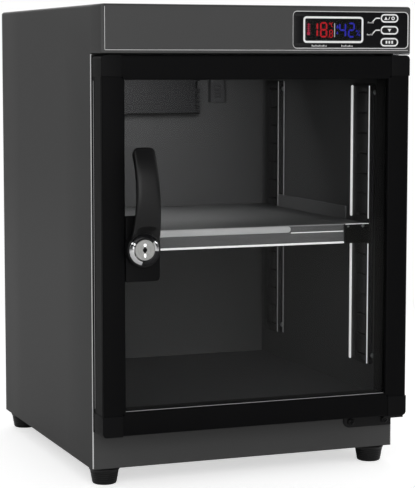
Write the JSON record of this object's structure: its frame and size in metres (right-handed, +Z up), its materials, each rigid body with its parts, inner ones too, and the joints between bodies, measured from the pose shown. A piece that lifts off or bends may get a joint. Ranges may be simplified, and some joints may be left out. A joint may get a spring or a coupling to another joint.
{
  "type": "camera dry cabinet",
  "caption": "Steel electronic dry cabinet with a glazed hinged door, lever lock, control panel in a forward hood, slotted uprights, one shelf and a cooling dryer.",
  "frame": {"origin": "centre of the bounding box in plan, at the level that the feet stand on", "axes": "+Z up, -Y out of the glazed front, +X to the hinge side, on the right of a viewer at the front"},
  "size_m": [0.3, 0.378, 0.433],
  "materials": {
    "shell_paint": "satin dark grey powder coat",
    "liner_paint": "satin charcoal powder coat",
    "upright_paint": "satin charcoal powder coat with bright worn edges",
    "foot_rubber": "matt black moulded rubber",
    "seal_rubber": "matt black extruded rubber",
    "zinc_steel": "zinc plated",
    "black_steel": "black coated steel",
    "bezel_plastic": "satin to gloss black",
    "smoked_window": "smoked acrylic",
    "module_plastic": "matt black moulding",
    "board_laminate": "green solder mask",
    "shelf_paint": "satin mid grey powder coat",
    "strip_plastic": "pale satin plastic",
    "bracket_plastic": "black moulding",
    "door_profile": "satin black",
    "corner_plastic": "satin black moulding",
    "door_pane": "clear float glass",
    "bush_nylon": "natural nylon",
    "lock_black": "satin black",
    "lock_chrome": "polished chrome",
    "sink_aluminium": "plain extruded",
    "module_ceramic": "white ceramic",
    "foam_black": "closed cell foam",
    "wick_felt": "felt strip",
    "cover_plastic": "black moulding",
    "lead_sheath": "PVC sheath"
  },
  "bodies": {
    "cabinet": {"outer_wrap": "shell_paint", "face_frame": "shell_paint", "hood_front": "shell_paint", "bottom_panel": "shell_paint", "back_panel": "shell_paint", "liner_wrap": "liner_paint", "liner_floor": "liner_paint", "liner_ceiling": "liner_paint", "rubber_feet": "foot_rubber", "foot_screws": "zinc_steel", "control_bezel": "bezel_plastic", "display_window": "smoked_window", "display_module": "module_plastic", "control_board": "board_laminate", "key_switches": "module_plastic", "board_screws": "zinc_steel", "uprights_left": "upright_paint", "uprights_right": "upright_paint", "upright_rivets": "zinc_steel", "shelf_tray": "shelf_paint", "shelf_edge_strip": "strip_plastic", "shelf_brackets": "bracket_plastic", "strike_plate": "zinc_steel", "hinge_plate_top": "black_steel", "hinge_bracket_bottom": "black_steel", "hinge_pins": "zinc_steel", "bracket_screws": "zinc_steel", "dryer_cover": "liner_paint", "cold_sink": "sink_aluminium", "spacer_block": "sink_aluminium", "cooling_module": "module_ceramic", "hot_sink": "sink_aluminium", "foam_frame": "foam_black", "evaporator_wick": "wick_felt", "rear_vent_cover": "cover_plastic", "vent_cover_screws": "zinc_steel", "power_inlet": "cover_plastic", "humidity_sensor": "strip_plastic", "wiring_harness": "lead_sheath", "cable_clips": "bracket_plastic"},
    "door": {"stile_left": "door_profile", "stile_right": "door_profile", "rail_top": "door_profile", "rail_bottom": "door_profile", "door_corners": "corner_plastic", "door_glass": "door_pane", "door_gasket": "seal_rubber", "hinge_bushes": "bush_nylon", "lock_plate": "lock_black", "lock_washer": "seal_rubber", "lock_nut": "zinc_steel"},
    "handle": {"handle_lever": "lock_black", "lock_barrel": "lock_chrome", "lock_spindle": "zinc_steel", "latch_cam": "zinc_steel", "cam_screw": "zinc_steel"},
    "plug": {"lock_plug": "lock_chrome"},
    "up_key": {"key_up": "bezel_plastic"},
    "down_key": {"key_down": "bezel_plastic"},
    "set_key": {"key_set": "bezel_plastic"}
  },
  "joints": [
    {"name": "door_swing", "type": "hinge", "parent": "cabinet", "child": "door", "pos_m": [0.142, -0.152, 0.22], "axis": [0, 0, 1], "range_deg": [0, 135]},
    {"name": "handle_turn", "type": "hinge", "parent": "door", "child": "handle", "pos_m": [-0.1141, -0.17, 0.2186], "axis": [0, 1, 0], "range_deg": [0, 90]},
    {"name": "lock_plug_turn", "type": "hinge", "parent": "handle", "child": "plug", "pos_m": [-0.1141, -0.175, 0.2186], "axis": [0, 1, 0], "range_deg": [0, 90]},
    {"name": "up_key_press", "type": "slide", "parent": "cabinet", "child": "up_key", "axis": [0, 1, 0], "range_m": [0, 0.0005], "stiffness_N_per_m": 600, "springref_m": -0.0005},
    {"name": "down_key_press", "type": "slide", "parent": "cabinet", "child": "down_key", "axis": [0, 1, 0], "range_m": [0, 0.0005], "stiffness_N_per_m": 600, "springref_m": -0.0005},
    {"name": "set_key_press", "type": "slide", "parent": "cabinet", "child": "set_key", "axis": [0, 1, 0], "range_m": [0, 0.0005], "stiffness_N_per_m": 600, "springref_m": -0.0005}
  ]
}
